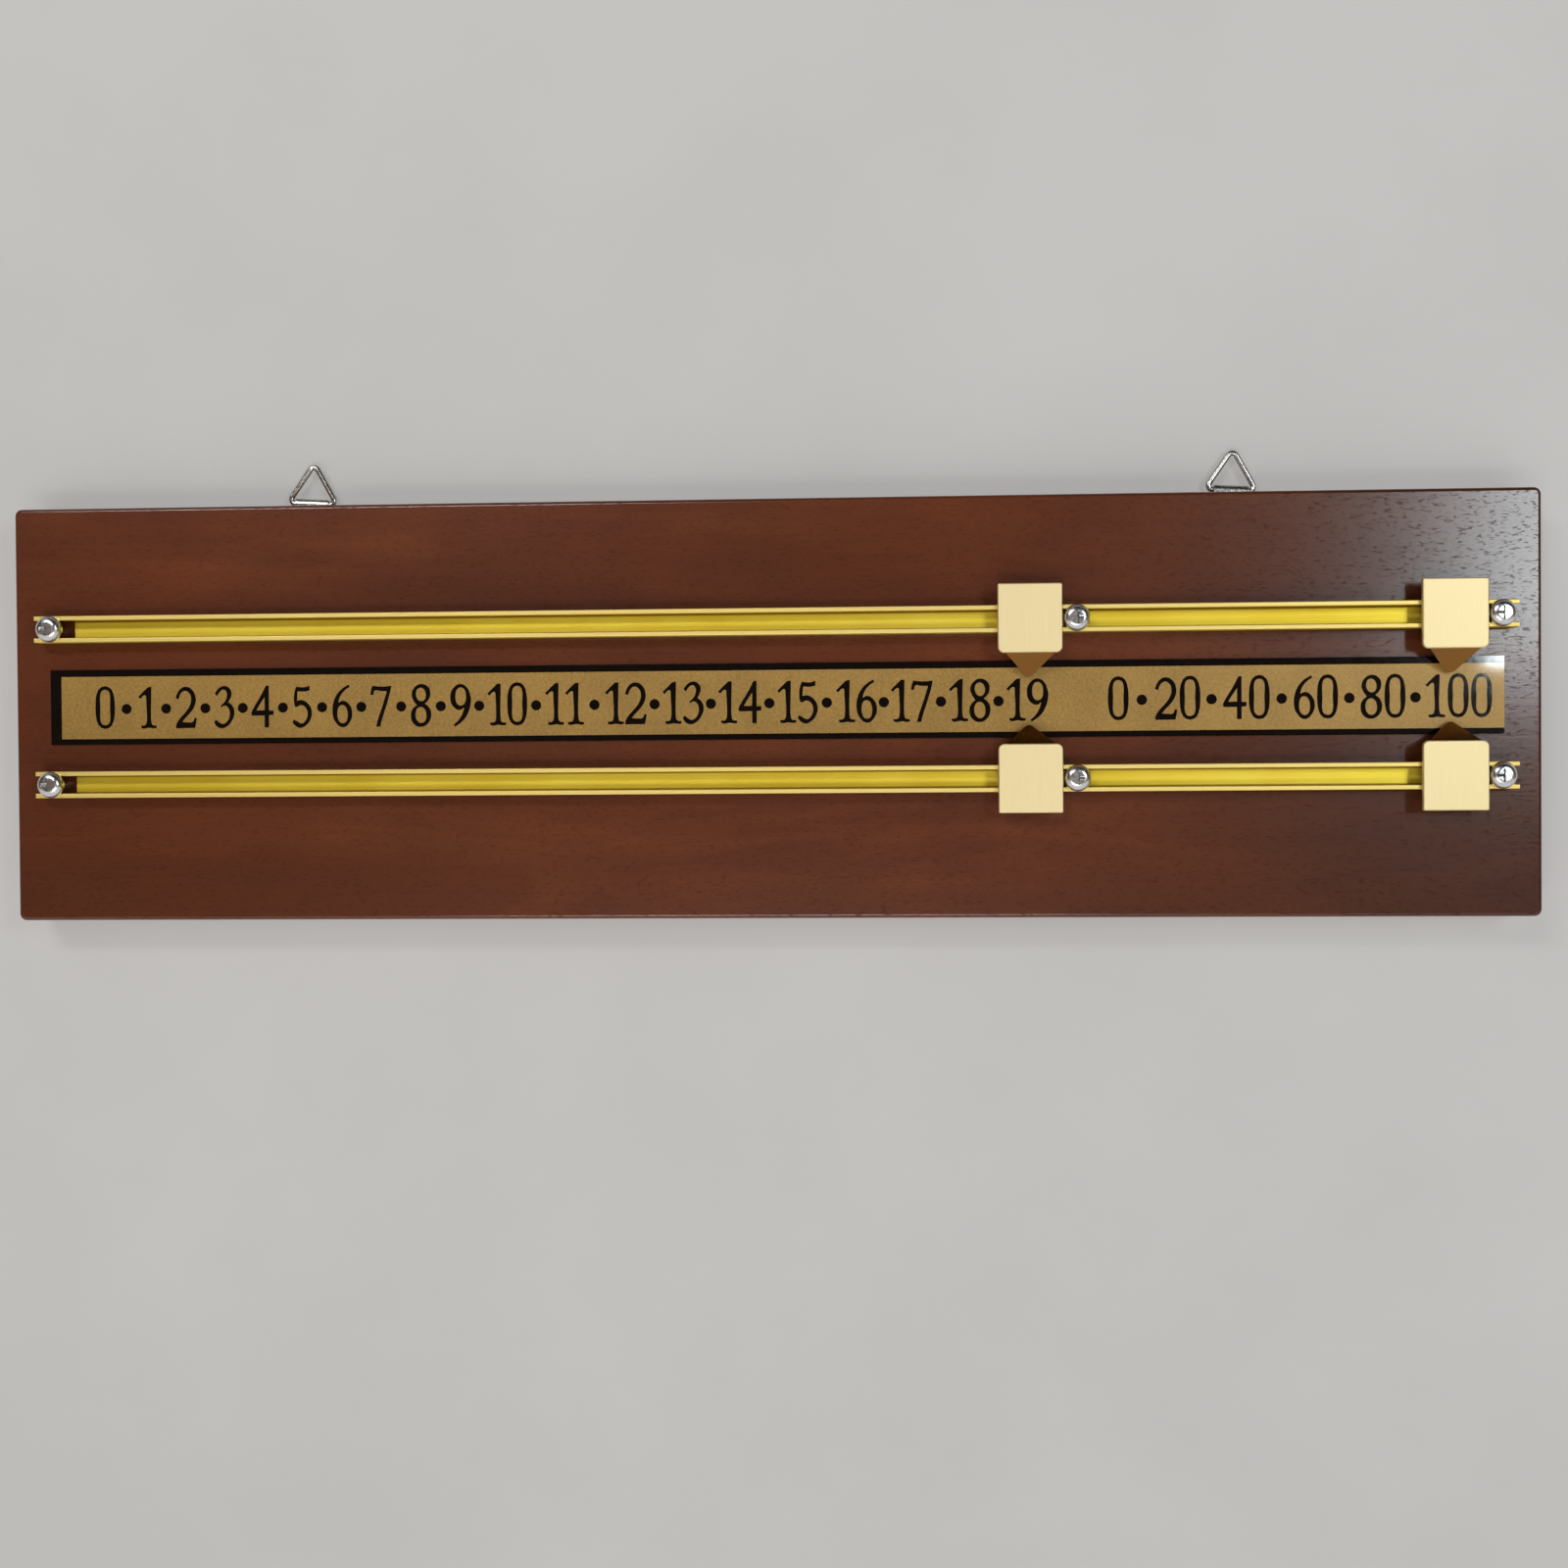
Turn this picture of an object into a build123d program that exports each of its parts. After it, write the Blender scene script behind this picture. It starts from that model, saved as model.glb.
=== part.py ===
from build123d import *
import os
from math import cos, radians, sin

# A wall-hung score counter for two players, in millimetres. Its front faces -Y and +Z is up.
# The origin is the middle of the board's back face, which lies against the wall.

# Backboard
board_length = 400
board_height = 110
board_thickness = 15
board_corner_radius = 1.8
front_edge_round = 1.0
back_edge_chamfer = 0.5

# Number strip, glued to the board's front face
strip_end_margin = 9.75
strip_width = 19.9
strip_thickness = 0.5
strip_corner_radius = 0.4
strip_rise = 1.9

# Rails, channels with lips turned in over the slot
rail_end_margin = 7.5
rail_spacing = 41.1
rail_width = 7.0
rail_height = 5.0
rail_floor = 1.0
rail_end_notch = 9.3
rail_wall = 0.6
rail_edge_round = 0.25
lip_thickness = 0.8
slot_width = 4.6

# Rail screws, whose heads also stop the sliders
rail_screw_head_diameter = 6.9
rail_screw_head_height = 2.4
rail_screw_shank_diameter = 3.4
rail_screw_wood_ahead = 5.0
rail_screw_end_inset = 4.3
hundreds_span = 107
rail_screw_turns = {"left": 24, "middle": -12, "right": 38}

# Shape that every screw shares, as shares of its own head and shank
head_round_share = 0.8
cross_length_share = 0.5
cross_width_share = 0.13
cross_depth_share = 0.55
cross_draft = 6
screw_tip_share = 0.8
screw_point_diameter = 0.5
thread_clearance = 0.05
pilot_run_out = 0.6
screw_hole_clearance = 0.2

# Sliders
plate_width = 16.5
plate_height = 17.8
plate_thickness = 1.2
plate_edge_round = 0.4
shoulder_radius = 1.6
far_corner_radius = 0.5
pointer_thickness = 0.6
pointer_front_step = 0.45
pointer_bend_radius = 1.0
pointer_root_step = 0.35
pointer_root_depth = 1.0
pointer_tip_radius = 1.5
pointer_tip_clearance = 1.1
upper_pointer_reach = 14.8
lower_pointer_reach = 13.7
spacer_diameter = 9.0
spacer_thickness = 0.45
stud_shank_diameter = 3.0
stud_head_diameter = 4.2
stud_head_height = 0.9
stud_seat_depth = 0.7
shoe_length = 12
running_gap = 0.15
joint_clearance = 0.05
stop_gap = 0.3

# Hangers, a wire ring in a folded strap in a pocket at the top of the back
hanger_inset = 76.5
hanger_tilt = 3
hanger_screw_drop = 6.0
wire_rise = 2.1
wire_diameter = 1.6
wire_clearance = 0.08
ring_base = 13.6
ring_rise = 11.0
ring_corner_radius = 1.2
ring_end_gap = 0.2
strap_width = 9.0
strap_sheet = 0.5
strap_layer_gap = 0.1
strap_jog_length = 2.6
strap_bend_radius = 0.5
pocket_side_clearance = 2.6
pocket_head_cover = 0.3
hanger_screw_head_diameter = 5.6
hanger_screw_head_height = 1.9
hanger_screw_shank_diameter = 2.9
hanger_screw_wood_ahead = 2.8
hanger_screw_turn = 15

# Places that follow from the sizes above
board_front = Plane(origin=(0, -board_thickness, 0), x_dir=(1, 0, 0), z_dir=(0, -1, 0))
board_top = board_height / 2
strip_length = board_length - 2 * strip_end_margin
rail_length = board_length - 2 * rail_end_margin
rail_heights = {
    "upper": strip_rise + rail_spacing / 2,
    "lower": strip_rise - rail_spacing / 2,
}
right_screw_x = rail_length / 2 - rail_screw_end_inset
rail_screw_places = {
    "left": -right_screw_x,
    "middle": right_screw_x - hundreds_span,
    "right": right_screw_x,
}
cavity_width = rail_width - 2 * rail_wall
cavity_height = rail_height - rail_floor - lip_thickness
spacer_back = rail_height + running_gap
plate_back = spacer_back + spacer_thickness
plate_front = plate_back + plate_thickness
pointer_front = plate_front - pointer_front_step
stop_distance = rail_screw_head_diameter / 2 + stop_gap + plate_width / 2
slider_places = {
    "units": rail_screw_places["middle"] - stop_distance,
    "hundreds": rail_screw_places["right"] - stop_distance,
}
pointer_root_width = plate_width - 2 * (shoulder_radius + pointer_root_step)
pointer_reaches = {"upper": upper_pointer_reach, "lower": lower_pointer_reach}
curl_inner_radius = wire_diameter / 2 + wire_clearance
curl_middle_radius = curl_inner_radius + strap_sheet / 2
wire_height = curl_inner_radius + strap_sheet
wire_above_screw = hanger_screw_drop + wire_rise
strap_stack = 2 * strap_sheet + strap_layer_gap
pocket_depth = strap_stack + hanger_screw_head_height + pocket_head_cover
pocket_width = strap_width + 2 * pocket_side_clearance
rail_screw_bite = board_thickness - rail_screw_wood_ahead
hanger_screw_bite = board_thickness - pocket_depth - hanger_screw_wood_ahead
hanger_places = {
    "left": -board_length / 2 + hanger_inset,
    "right": board_length / 2 - hanger_inset,
}
os.makedirs("parts", exist_ok=True)


def finish(piece, name):
    """Labels a finished piece and writes its file."""
    piece.label = name
    export_step(piece, f"parts/{name}.step")


def slider_plane(row, column):
    """On the board's face under a slider's middle, with local +Y towards the number strip."""
    side = -1 if row == "upper" else 1
    origin = (slider_places[column], -board_thickness, rail_heights[row])
    return Plane(origin=origin, x_dir=(side, 0, 0), z_dir=(0, -1, 0))


def hanger_plane(side):
    """On the pocket's floor at the hanger's screw, facing the wall, turned with the strap."""
    tilt = radians(hanger_tilt)
    origin = (hanger_places[side], -pocket_depth, board_top - hanger_screw_drop)
    return Plane(origin=origin, x_dir=(-cos(tilt), 0, sin(tilt)), z_dir=(0, 1, 0))


def make_screw(seat, head_diameter, head_height, shank_diameter, length, turn):
    """A cross-head pan screw, whose head sits on the seat plane."""
    head_top = seat.offset(head_height).rotated((0, 0, turn))
    tip_length = shank_diameter * screw_tip_share
    with BuildPart() as screw:
        with BuildSketch(seat):
            Circle(head_diameter / 2)
        extrude(amount=head_height)
        along = Axis(seat.origin, seat.z_dir)
        fillet(screw.edges().sort_by(along)[-1], head_height * head_round_share)
        with BuildSketch(head_top):
            Rectangle(head_diameter * cross_length_share, head_diameter * cross_width_share)
            Rectangle(head_diameter * cross_width_share, head_diameter * cross_length_share)
        extrude(
            amount=-head_height * cross_depth_share,
            taper=cross_draft,
            mode=Mode.SUBTRACT,
        )
        with BuildSketch(seat):
            Circle(shank_diameter / 2)
        extrude(amount=-(length - tip_length))
        with BuildSketch(seat.offset(-(length - tip_length))):
            Circle(shank_diameter / 2)
        with BuildSketch(seat.offset(-length)):
            Circle(screw_point_diameter / 2)
        loft()
    return screw.part


def make_pointer(place, reach):
    """A slider's pointer, pressed thinner than the plate and bent down towards the number strip."""
    side = Plane(origin=place.origin, x_dir=place.y_dir, z_dir=place.x_dir)
    edge = plate_height / 2
    root = edge - pointer_root_depth
    past_tip = reach + pointer_thickness
    fall = pointer_front - pointer_thickness - strip_thickness - pointer_tip_clearance
    slope = fall / (reach - edge)
    with BuildPart() as pointer:
        with BuildSketch(side):
            with BuildLine():
                surface = FilletPolyline(
                    (root, pointer_front),
                    (edge, pointer_front),
                    (past_tip, pointer_front - slope * (past_tip - edge)),
                    radius=pointer_bend_radius,
                )
                offset(surface, amount=pointer_thickness, side=Side.RIGHT, closed=True)
            make_face()
        extrude(amount=pointer_root_width / 2, both=True)
        with BuildSketch(place):
            with Locations((0, reach - pointer_tip_radius)):
                Circle(pointer_tip_radius)
            with Locations((0, edge)):
                Rectangle(
                    pointer_root_width,
                    pointer_root_depth,
                    align=(Align.CENTER, Align.MAX),
                )
            make_hull()
        extrude(amount=plate_front, mode=Mode.INTERSECT)
    return pointer.part


def make_plate(place, reach):
    """The face plate of a slider with its pointer, one piece of pressed sheet."""
    pointer = make_pointer(place, reach)
    with BuildPart() as plate:
        with BuildSketch(place.offset(plate_back)) as outline:
            Rectangle(plate_width, plate_height)
            ends = outline.vertices().group_by(Axis.Y)
            fillet(ends[-1], shoulder_radius)
            ends = outline.vertices().group_by(Axis.Y)
            fillet(ends[0], far_corner_radius)
        extrude(amount=plate_thickness)
        face = plate.faces().sort_by(Axis(place.origin, place.z_dir))[-1]
        fillet(face.edges(), plate_edge_round)
        add(pointer)
        with BuildSketch(place.offset(plate_back)):
            Circle(stud_shank_diameter / 2 + joint_clearance)
        extrude(amount=stud_seat_depth, mode=Mode.SUBTRACT)
    return plate.part


def make_spacer(place):
    """The low-friction washer that a slider's plate rides on."""
    with BuildPart() as spacer:
        with BuildSketch(place.offset(spacer_back)):
            Circle(spacer_diameter / 2)
            Circle(stud_shank_diameter / 2 + joint_clearance, mode=Mode.SUBTRACT)
        extrude(amount=spacer_thickness)
    return spacer.part


def make_shoe(place):
    """The runner inside the channel: a wide foot under the lips and a neck through the slot."""
    foot_bottom = rail_floor + running_gap
    foot_height = cavity_height - 2 * running_gap
    with BuildPart() as shoe:
        with BuildSketch(place.offset(foot_bottom)):
            Rectangle(shoe_length, cavity_width - 2 * running_gap)
        extrude(amount=foot_height)
        with BuildSketch(place.offset(foot_bottom + foot_height)):
            Rectangle(shoe_length, slot_width - 2 * running_gap)
        extrude(amount=spacer_back - foot_bottom - foot_height)
        with BuildSketch(place.offset(foot_bottom)):
            Circle(stud_shank_diameter / 2 + joint_clearance)
        extrude(amount=spacer_back, mode=Mode.SUBTRACT)
        with BuildSketch(place.offset(foot_bottom)):
            Circle(stud_head_diameter / 2 + joint_clearance)
        extrude(amount=stud_head_height, mode=Mode.SUBTRACT)
    return shoe.part


def make_stud(place):
    """The headed stud that joins shoe, spacer and plate, soldered into the plate's back."""
    head_bottom = rail_floor + running_gap
    with BuildPart() as stud:
        with BuildSketch(place.offset(head_bottom)):
            Circle(stud_head_diameter / 2)
        extrude(amount=stud_head_height)
        with BuildSketch(place.offset(head_bottom)):
            Circle(stud_shank_diameter / 2)
        extrude(amount=plate_back + stud_seat_depth - head_bottom)
    return stud.part


def make_strap(place):
    """A strip of sheet folded over the ring's base wire, both layers under one screw."""
    side = Plane(origin=place.origin, x_dir=place.y_dir, z_dir=place.x_dir)
    under_layer = strap_sheet / 2
    over_layer = under_layer + strap_sheet + strap_layer_gap
    curl_top = under_layer + 2 * curl_middle_radius
    end = -strap_width / 2
    with BuildPart() as strap:
        with BuildSketch(side):
            with BuildLine() as fold:
                Line((end, under_layer), (wire_above_screw, under_layer))
                ThreePointArc(
                    (wire_above_screw, under_layer),
                    (wire_above_screw + curl_middle_radius, wire_height),
                    (wire_above_screw, curl_top),
                )
                FilletPolyline(
                    (wire_above_screw, curl_top),
                    (wire_above_screw - strap_bend_radius, curl_top),
                    (wire_above_screw - strap_jog_length, over_layer),
                    (end, over_layer),
                    radius=strap_bend_radius,
                )
            trace(line_width=strap_sheet)
        extrude(amount=strap_width / 2, both=True)
        with BuildSketch(place):
            Circle(strap_width / 2)
            with Locations((0, wire_above_screw)):
                Rectangle(strap_width, 2 * wire_above_screw)
            Circle(hanger_screw_shank_diameter / 2 + screw_hole_clearance, mode=Mode.SUBTRACT)
        extrude(amount=pocket_depth, mode=Mode.INTERSECT)
    return strap.part


def make_ring(place):
    """The triangular wire ring, whose two ends meet inside the strap's curl."""
    half_base = ring_base / 2
    with BuildPart() as ring:
        with BuildLine(place.offset(wire_height)) as route:
            FilletPolyline(
                (ring_end_gap / 2, wire_above_screw),
                (half_base, wire_above_screw),
                (0, wire_above_screw + ring_rise),
                (-half_base, wire_above_screw),
                (-ring_end_gap / 2, wire_above_screw),
                radius=ring_corner_radius,
            )
        with BuildSketch(Plane(origin=route.line @ 0, z_dir=route.line % 0)):
            Circle(wire_diameter / 2)
        sweep()
    return ring.part


# Backboard: a plain lacquered board with pilot holes and two pockets for the hangers
with BuildPart() as backboard:
    with BuildSketch(board_front):
        RectangleRounded(board_length, board_height, board_corner_radius)
    extrude(amount=-board_thickness)
    fillet(backboard.faces().sort_by(Axis.Y)[0].edges(), front_edge_round)
    chamfer(backboard.faces().sort_by(Axis.Y)[-1].edges(), back_edge_chamfer)
    with BuildSketch(board_front):
        for rail_z in rail_heights.values():
            for screw_x in rail_screw_places.values():
                with Locations((screw_x, rail_z)):
                    Circle(rail_screw_shank_diameter / 2 + thread_clearance)
    extrude(amount=-(rail_screw_bite + pilot_run_out), mode=Mode.SUBTRACT)
    for hanger_side in hanger_places:
        pocket_plane = Plane(
            origin=(hanger_places[hanger_side], 0, board_top - hanger_screw_drop),
            x_dir=(-1, 0, 0),
            z_dir=(0, 1, 0),
        )
        with BuildSketch(pocket_plane):
            Circle(pocket_width / 2)
            with Locations((0, hanger_screw_drop)):
                Rectangle(pocket_width, 2 * hanger_screw_drop)
        extrude(amount=-pocket_depth, mode=Mode.SUBTRACT)
        with BuildSketch(hanger_plane(hanger_side)):
            Circle(hanger_screw_shank_diameter / 2 + thread_clearance)
        extrude(amount=-(hanger_screw_bite + pilot_run_out), mode=Mode.SUBTRACT)
finish(backboard.part, "backboard")

# Number strip: the printed strip between the rails
with BuildPart() as number_strip:
    with BuildSketch(board_front):
        with Locations((0, strip_rise)):
            RectangleRounded(strip_length, strip_width, strip_corner_radius)
    extrude(amount=strip_thickness)
finish(number_strip.part, "number_strip")

# Rails: a channel each, its floor cut away at both ends for the end screws and drilled for the middle one
for row, rail_z in rail_heights.items():
    with BuildPart() as rail:
        with BuildSketch(Plane.YZ):
            with Locations((-board_thickness, rail_z)):
                Rectangle(rail_height, rail_width, align=(Align.MAX, Align.CENTER))
            with Locations((-board_thickness - rail_floor, rail_z)):
                Rectangle(
                    cavity_height,
                    cavity_width,
                    align=(Align.MAX, Align.CENTER),
                    mode=Mode.SUBTRACT,
                )
                Rectangle(
                    rail_height,
                    slot_width,
                    align=(Align.MAX, Align.CENTER),
                    mode=Mode.SUBTRACT,
                )
        extrude(amount=rail_length / 2, both=True)
        lips = rail.faces().filter_by(Axis.Y).sort_by(Axis.Y)[:2]
        lip_edges = lips.edges().filter_by(Axis.X)
        fillet(lip_edges, rail_edge_round)
        with BuildSketch(board_front):
            with Locations((rail_screw_places["middle"], rail_z)):
                Circle(rail_screw_shank_diameter / 2 + screw_hole_clearance)
            with Locations((-rail_length / 2, rail_z), (rail_length / 2, rail_z)):
                Rectangle(2 * rail_end_notch, cavity_width)
        extrude(amount=rail_floor, mode=Mode.SUBTRACT)
    finish(rail.part, f"{row}_rail")

# Rail screws: three to a rail, their heads on the channel's lips
for row, rail_z in rail_heights.items():
    for place, screw_x in rail_screw_places.items():
        head_seat = Plane(
            origin=(screw_x, -board_thickness - rail_height, rail_z),
            x_dir=(1, 0, 0),
            z_dir=(0, -1, 0),
        )
        rail_screw = make_screw(
            head_seat,
            rail_screw_head_diameter,
            rail_screw_head_height,
            rail_screw_shank_diameter,
            rail_height + rail_screw_bite,
            rail_screw_turns[place],
        )
        finish(rail_screw, f"{row}_{place}_rail_screw")

# Sliders: one for units and one for hundreds on each rail, shown at their right-hand stops
for row in rail_heights:
    for column in slider_places:
        middle = slider_plane(row, column)
        finish(make_plate(middle, pointer_reaches[row]), f"{row}_{column}_pointer_plate")
        finish(make_spacer(middle), f"{row}_{column}_spacer")
        finish(make_shoe(middle), f"{row}_{column}_shoe")
        finish(make_stud(middle), f"{row}_{column}_stud")

# Hangers: strap, ring and screw, two sets
for hanger_side in hanger_places:
    floor = hanger_plane(hanger_side)
    finish(make_strap(floor), f"{hanger_side}_hanger_strap")
    finish(make_ring(floor), f"{hanger_side}_hanger_ring")
    hanger_screw = make_screw(
        floor.offset(strap_stack),
        hanger_screw_head_diameter,
        hanger_screw_head_height,
        hanger_screw_shank_diameter,
        strap_stack + hanger_screw_bite,
        hanger_screw_turn,
    )
    finish(hanger_screw, f"{hanger_side}_hanger_screw")
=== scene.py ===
from math import pi, radians

import bpy
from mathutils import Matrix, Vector


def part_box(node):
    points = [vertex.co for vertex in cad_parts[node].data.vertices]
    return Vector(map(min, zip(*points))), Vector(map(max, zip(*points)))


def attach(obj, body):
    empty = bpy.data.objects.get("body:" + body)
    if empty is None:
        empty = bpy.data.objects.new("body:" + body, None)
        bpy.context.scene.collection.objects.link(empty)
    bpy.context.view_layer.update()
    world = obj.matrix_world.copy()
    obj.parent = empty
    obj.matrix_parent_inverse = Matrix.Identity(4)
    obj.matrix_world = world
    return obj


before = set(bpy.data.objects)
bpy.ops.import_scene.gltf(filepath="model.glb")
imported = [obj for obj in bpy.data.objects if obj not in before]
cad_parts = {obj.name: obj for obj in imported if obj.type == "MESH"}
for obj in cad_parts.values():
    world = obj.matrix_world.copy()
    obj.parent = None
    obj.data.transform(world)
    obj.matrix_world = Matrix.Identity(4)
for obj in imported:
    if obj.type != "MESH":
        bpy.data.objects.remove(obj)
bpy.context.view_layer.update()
MM = 0.001


# Backboard: a planed hardwood board, mahogany stained and sprayed with satin lacquer.
# Its pores stay open under the thin lacquer, so they show as short dashes along the grain
# wherever light glances off it. The hanger pockets were routed after staining.

def linear(hex_code):
    """An sRGB hex colour as the linear colour that a socket takes."""
    channels = []
    for start in (1, 3, 5):
        value = int(hex_code[start:start + 2], 16) / 255
        channels.append(value / 12.92 if value <= 0.04045 else ((value + 0.055) / 1.055) ** 2.4)
    return (*channels, 1)


def add_node(tree, kind, inputs=None, **settings):
    """Adds a node, sets its properties, and fills or links each input given by name or number."""
    node = tree.nodes.new(kind)
    for name, value in settings.items():
        setattr(node, name, value)
    for key, value in (inputs or {}).items():
        if isinstance(value, bpy.types.NodeSocket):
            tree.links.new(value, node.inputs[key])
        else:
            node.inputs[key].default_value = value
    return node


def set_ramp(node, *stops):
    """Gives a colour ramp its stops, each a position and a hex colour."""
    elements = node.color_ramp.elements
    while len(elements) < len(stops):
        elements.new(0.5)
    for element, (position, colour) in zip(elements, stops):
        element.position = position
        element.color = linear(colour)


def new_material(name):
    """An empty node material, to be filled by its own section."""
    material = bpy.data.materials.new(name)
    material.use_nodes = True
    material.node_tree.nodes.clear()
    return material


def dress(node_names, material):
    """Gives CAD pieces their finish."""
    for name in node_names:
        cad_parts[name].material_slots[0].material = material


# Sizes are in millimetres throughout, apart from the lamps' and what comes from the frame.
board_low, board_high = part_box("backboard")
figure_length, figure_width = 130, 24
fibre_length, fibre_width = 26, 0.55
pore_length, pore_width, pore_hollow = 1.6, 0.42, 0.03
pore_darkening, film_over_pore, film_wave = 0.25, 0.35, 0.03
stain_patch = 60
dark_end_start, dark_end_shade = 70, 0.5
pocket_middle, pocket_half_width, pocket_low = 123.5, 7.15, 41.7
pocket_depth, back_skin = 3.3, 0.05

wood = new_material("mahogany_stained_lacquered_wood")
tree = wood.node_tree
place = add_node(tree, "ShaderNodeTexCoord")
# The grain runs along the board, so its patterns are drawn out along X. Real fibres and pores
# are finer than these, which are drawn about half a millimetre wide so that they show.
figure_place = add_node(tree, "ShaderNodeMapping", {
    "Vector": place.outputs["Object"],
    "Scale": (1 / (figure_length * MM), 1 / (figure_width * MM), 1 / (figure_width * MM)),
})
figure = add_node(tree, "ShaderNodeTexNoise", {
    "Vector": figure_place.outputs[0], "Scale": 1, "Detail": 5, "Roughness": 0.62, "Distortion": 0.9,
})
figure_colour = add_node(tree, "ShaderNodeValToRGB", {"Fac": figure.outputs["Fac"]})
set_ramp(figure_colour, (0.30, "#4f220a"), (0.50, "#58270d"), (0.72, "#633012"))
fibre_place = add_node(tree, "ShaderNodeMapping", {
    "Vector": place.outputs["Object"],
    "Scale": (1 / (fibre_length * MM), 1 / (fibre_width * MM), 1 / (fibre_width * MM)),
})
fibre = add_node(tree, "ShaderNodeTexNoise", {
    "Vector": fibre_place.outputs[0], "Scale": 1, "Detail": 3, "Roughness": 0.55,
})
fibre_shade = add_node(tree, "ShaderNodeMapRange", {
    "Value": fibre.outputs["Fac"], "From Min": 0.3, "From Max": 0.7, "To Min": 0.96, "To Max": 1.04,
})
stain = add_node(tree, "ShaderNodeTexNoise", {
    "Vector": place.outputs["Object"], "Scale": 1 / (stain_patch * MM), "Detail": 3, "Roughness": 0.5,
})
stain_shade = add_node(tree, "ShaderNodeMapRange", {
    "Value": stain.outputs["Fac"], "From Min": 0.3, "From Max": 0.7, "To Min": 0.8, "To Max": 1.16,
})
even_shade = add_node(tree, "ShaderNodeMath", {
    0: fibre_shade.outputs[0], 1: stain_shade.outputs[0],
}, operation="MULTIPLY")
# The board looks darker towards its right-hand end, which is taken for a heavier stain there.
axes = add_node(tree, "ShaderNodeSeparateXYZ", {0: place.outputs["Object"]})
end_shade = add_node(tree, "ShaderNodeMapRange", {
    "Value": axes.outputs["X"], "From Min": dark_end_start * MM, "From Max": board_high.x,
    "To Min": 1, "To Max": dark_end_shade,
}, interpolation_type="SMOOTHSTEP")
shade = add_node(tree, "ShaderNodeMath", {
    0: even_shade.outputs[0], 1: end_shade.outputs[0],
}, operation="MULTIPLY")
stained = add_node(tree, "ShaderNodeVectorMath", {
    0: figure_colour.outputs["Color"], "Scale": shade.outputs[0],
}, operation="SCALE")
pore_place = add_node(tree, "ShaderNodeMapping", {
    "Vector": place.outputs["Object"],
    "Scale": (1 / (pore_length * MM), 1 / (pore_width * MM), 1 / (pore_width * MM)),
})
pore_noise = add_node(tree, "ShaderNodeTexNoise", {
    "Vector": pore_place.outputs[0], "Scale": 1, "Detail": 1.5, "Roughness": 0.5, "Distortion": 0.2,
})
pore = add_node(tree, "ShaderNodeMapRange", {
    "Value": pore_noise.outputs["Fac"], "From Min": 0.56, "From Max": 0.66,
}, interpolation_type="SMOOTHSTEP")
pore_darkness = add_node(tree, "ShaderNodeMath", {
    0: pore.outputs[0], 1: pore_darkening,
}, operation="MULTIPLY")
pored = add_node(tree, "ShaderNodeMix", {
    "Factor": pore_darkness.outputs[0], 6: stained.outputs[0], 7: linear("#2a120a"),
}, data_type="RGBA")
# The pockets show the pale wood that the router bared, and the back and top faces keep their stain.
from_middle = add_node(tree, "ShaderNodeMath", {0: axes.outputs["X"]}, operation="ABSOLUTE")
beside = add_node(tree, "ShaderNodeMath", {
    0: from_middle.outputs[0], 1: pocket_middle * MM, 2: pocket_half_width * MM,
}, operation="COMPARE")
above = add_node(tree, "ShaderNodeMath", {
    0: axes.outputs["Z"], 1: (pocket_low * MM + board_high.z) / 2,
    2: (board_high.z - pocket_low * MM) / 2 - back_skin * MM,
}, operation="COMPARE")
behind = add_node(tree, "ShaderNodeMath", {
    0: axes.outputs["Y"], 1: -(pocket_depth / 2 + back_skin) * MM, 2: pocket_depth / 2 * MM,
}, operation="COMPARE")
beside_above = add_node(tree, "ShaderNodeMath", {
    0: beside.outputs[0], 1: above.outputs[0],
}, operation="MULTIPLY")
bare = add_node(tree, "ShaderNodeMath", {
    0: beside_above.outputs[0], 1: behind.outputs[0],
}, operation="MULTIPLY")
bare_colour = add_node(tree, "ShaderNodeValToRGB", {"Fac": fibre.outputs["Fac"]})
set_ramp(bare_colour, (0.3, "#8d5f3c"), (0.7, "#b98a5e"))
wood_colour = add_node(tree, "ShaderNodeMix", {
    "Factor": bare.outputs[0], 6: pored.outputs[2], 7: bare_colour.outputs["Color"],
}, data_type="RGBA")
wood_roughness = add_node(tree, "ShaderNodeMapRange", {
    "Value": fibre.outputs["Fac"], "From Min": 0.3, "From Max": 0.7, "To Min": 0.42, "To Max": 0.58,
})
# The film is thinner over the pores, which sink into the wood, and waves a little with the fibres.
pore_bump = add_node(tree, "ShaderNodeBump", {
    "Height": pore.outputs[0], "Strength": 0.35, "Distance": pore_hollow * MM,
}, invert=True)
lacquer_bump = add_node(tree, "ShaderNodeBump", {
    "Height": fibre.outputs["Fac"], "Strength": 0.2, "Distance": film_wave * MM,
})
lacquer_film = add_node(tree, "ShaderNodeMapRange", {
    "Value": pore.outputs[0], "To Min": 1, "To Max": film_over_pore,
})
lacquer = add_node(tree, "ShaderNodeBsdfPrincipled", {
    "Base Color": wood_colour.outputs[2], "Roughness": wood_roughness.outputs[0],
    "Specular IOR Level": 0.1, "Coat Weight": lacquer_film.outputs[0], "Coat Roughness": 0.2,
    "Coat IOR": 1.5, "Normal": pore_bump.outputs[0], "Coat Normal": lacquer_bump.outputs[0],
})
add_node(tree, "ShaderNodeOutputMaterial", {"Surface": lacquer.outputs[0]})
dress(["backboard"], wood)


# Number strip: a thin plastic strip glued to the board, screen printed in gold
# and then in gloss black, with a black border on three sides.
# The gold ink holds metal flake, so it looks grainy close to.

strip_low, strip_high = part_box("number_strip")
ink_thickness = 0.03
border_left, border_top, border_bottom = 2.9, 1.8, 1.5
flake_size, gold_cloud_size, black_wave_length = 0.7, 14, 1.5

gold_print = new_material("gold_flake_print")
tree = gold_print.node_tree
place = add_node(tree, "ShaderNodeTexCoord")
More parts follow.
